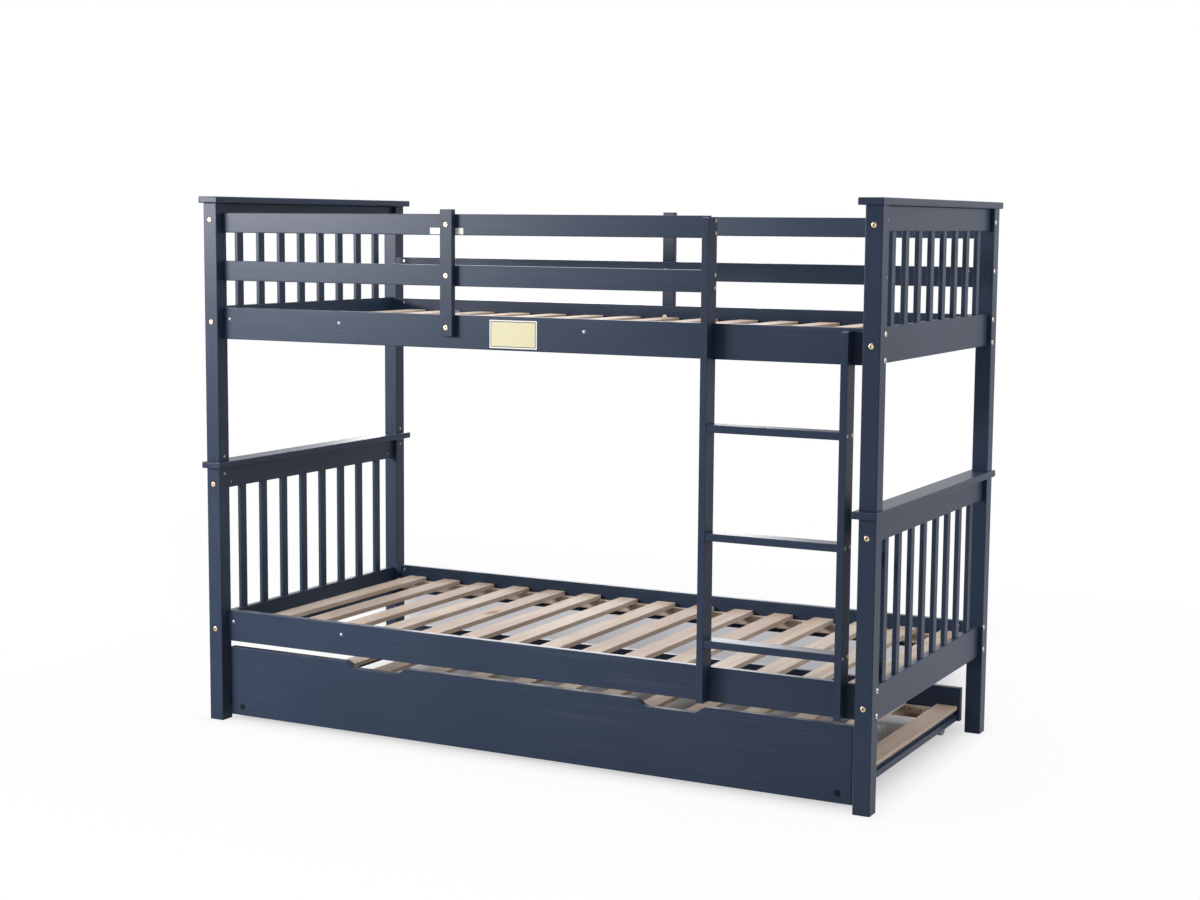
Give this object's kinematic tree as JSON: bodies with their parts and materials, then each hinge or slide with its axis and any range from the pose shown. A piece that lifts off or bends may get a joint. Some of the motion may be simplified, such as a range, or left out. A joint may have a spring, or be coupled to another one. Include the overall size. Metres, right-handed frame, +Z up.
{
  "type": "bunk bed with trundle",
  "caption": "Wooden bunk bed with slatted ends, guard boards, a fixed upright ladder and a low trundle bed on casters that rolls out under the lower bunk.",
  "frame": {"origin": "on the floor, at the centre of the bed's footprint", "axes": "+X along the bed towards the ladder's end, -Y the front with the ladder and the trundle's panel, +Z up"},
  "size_m": [2.106, 1.032, 1.562],
  "materials": {
    "blue_paint": "satin opaque paint",
    "bare_pine": "bare planed pine",
    "dowel_beech": "bare turned beech",
    "zinc_steel": "zinc plated",
    "copper_bolts": "bronze plated",
    "wheel_plastic": "moulded"
  },
  "bodies": {
    "bed_frame": {"lower_post_front_left": "blue_paint", "lower_post_rear_left": "blue_paint", "lower_cap_left": "blue_paint", "lower_end_bottom_rail_left": "blue_paint", "lower_end_top_rail_left": "blue_paint", "lower_end_slats_left": "blue_paint", "lower_post_front_right": "blue_paint", "lower_post_rear_right": "blue_paint", "lower_cap_right": "blue_paint", "lower_end_bottom_rail_right": "blue_paint", "lower_end_top_rail_right": "blue_paint", "lower_end_slats_right": "blue_paint", "lower_side_rail_front": "blue_paint", "lower_side_rail_rear": "blue_paint", "lower_bed_slats": "bare_pine", "upper_post_front_left": "blue_paint", "upper_post_rear_left": "blue_paint", "upper_cap_left": "blue_paint", "upper_end_bottom_rail_left": "blue_paint", "upper_end_top_rail_left": "blue_paint", "upper_end_slats_left": "blue_paint", "upper_post_front_right": "blue_paint", "upper_post_rear_right": "blue_paint", "upper_cap_right": "blue_paint", "upper_end_bottom_rail_right": "blue_paint", "upper_end_top_rail_right": "blue_paint", "upper_end_slats_right": "blue_paint", "upper_side_rail_front": "blue_paint", "upper_side_rail_rear": "blue_paint", "upper_bed_slats": "bare_pine", "bed_cleats": "bare_pine", "guard_board_front_low": "blue_paint", "guard_board_front_top": "blue_paint", "guard_upright_front": "blue_paint", "guard_board_rear_low": "blue_paint", "guard_board_rear_top": "blue_paint", "guard_upright_rear": "blue_paint", "ladder_stile_left": "blue_paint", "ladder_stile_right": "blue_paint", "ladder_rungs": "blue_paint", "end_rail_bolts": "copper_bolts", "side_rail_bolts": "zinc_steel", "barrel_nuts": "zinc_steel", "guard_upright_bolts": "copper_bolts", "guard_sleeve_nuts": "zinc_steel", "ladder_screws": "zinc_steel", "post_pins": "zinc_steel", "frame_dowels": "dowel_beech"},
    "trundle": {"trundle_front_panel": "blue_paint", "trundle_back_board": "blue_paint", "trundle_end_rail_left": "blue_paint", "trundle_end_rail_right": "blue_paint", "trundle_cleats": "bare_pine", "trundle_slats": "bare_pine", "caster_brackets": "zinc_steel", "caster_axles": "zinc_steel"},
    "caster_wheel_front_left": {"caster_wheel_front_left": "wheel_plastic"},
    "caster_wheel_front_right": {"caster_wheel_front_right": "wheel_plastic"},
    "caster_wheel_rear_left": {"caster_wheel_rear_left": "wheel_plastic"},
    "caster_wheel_rear_right": {"caster_wheel_rear_right": "wheel_plastic"}
  },
  "joints": [
    {"name": "trundle_slide", "type": "slide", "parent": "bed_frame", "child": "trundle", "axis": [0, -1, 0], "range_m": [0, 0.915]},
    {"name": "caster_wheel_front_left_spin", "type": "hinge", "parent": "trundle", "child": "caster_wheel_front_left", "pos_m": [-0.949, -0.398, 0.02], "axis": [1, 0, 0], "continuous": true},
    {"name": "caster_wheel_front_right_spin", "type": "hinge", "parent": "trundle", "child": "caster_wheel_front_right", "pos_m": [0.949, -0.398, 0.02], "axis": [1, 0, 0], "continuous": true},
    {"name": "caster_wheel_rear_left_spin", "type": "hinge", "parent": "trundle", "child": "caster_wheel_rear_left", "pos_m": [-0.949, 0.386, 0.02], "axis": [1, 0, 0], "continuous": true},
    {"name": "caster_wheel_rear_right_spin", "type": "hinge", "parent": "trundle", "child": "caster_wheel_rear_right", "pos_m": [0.949, 0.386, 0.02], "axis": [1, 0, 0], "continuous": true}
  ],
  "couplings": [
    {"joint": "caster_wheel_front_left_spin", "follows": "trundle_slide", "rad_per_m": 50},
    {"joint": "caster_wheel_front_right_spin", "follows": "trundle_slide", "rad_per_m": 50},
    {"joint": "caster_wheel_rear_left_spin", "follows": "trundle_slide", "rad_per_m": 50},
    {"joint": "caster_wheel_rear_right_spin", "follows": "trundle_slide", "rad_per_m": 50}
  ]
}
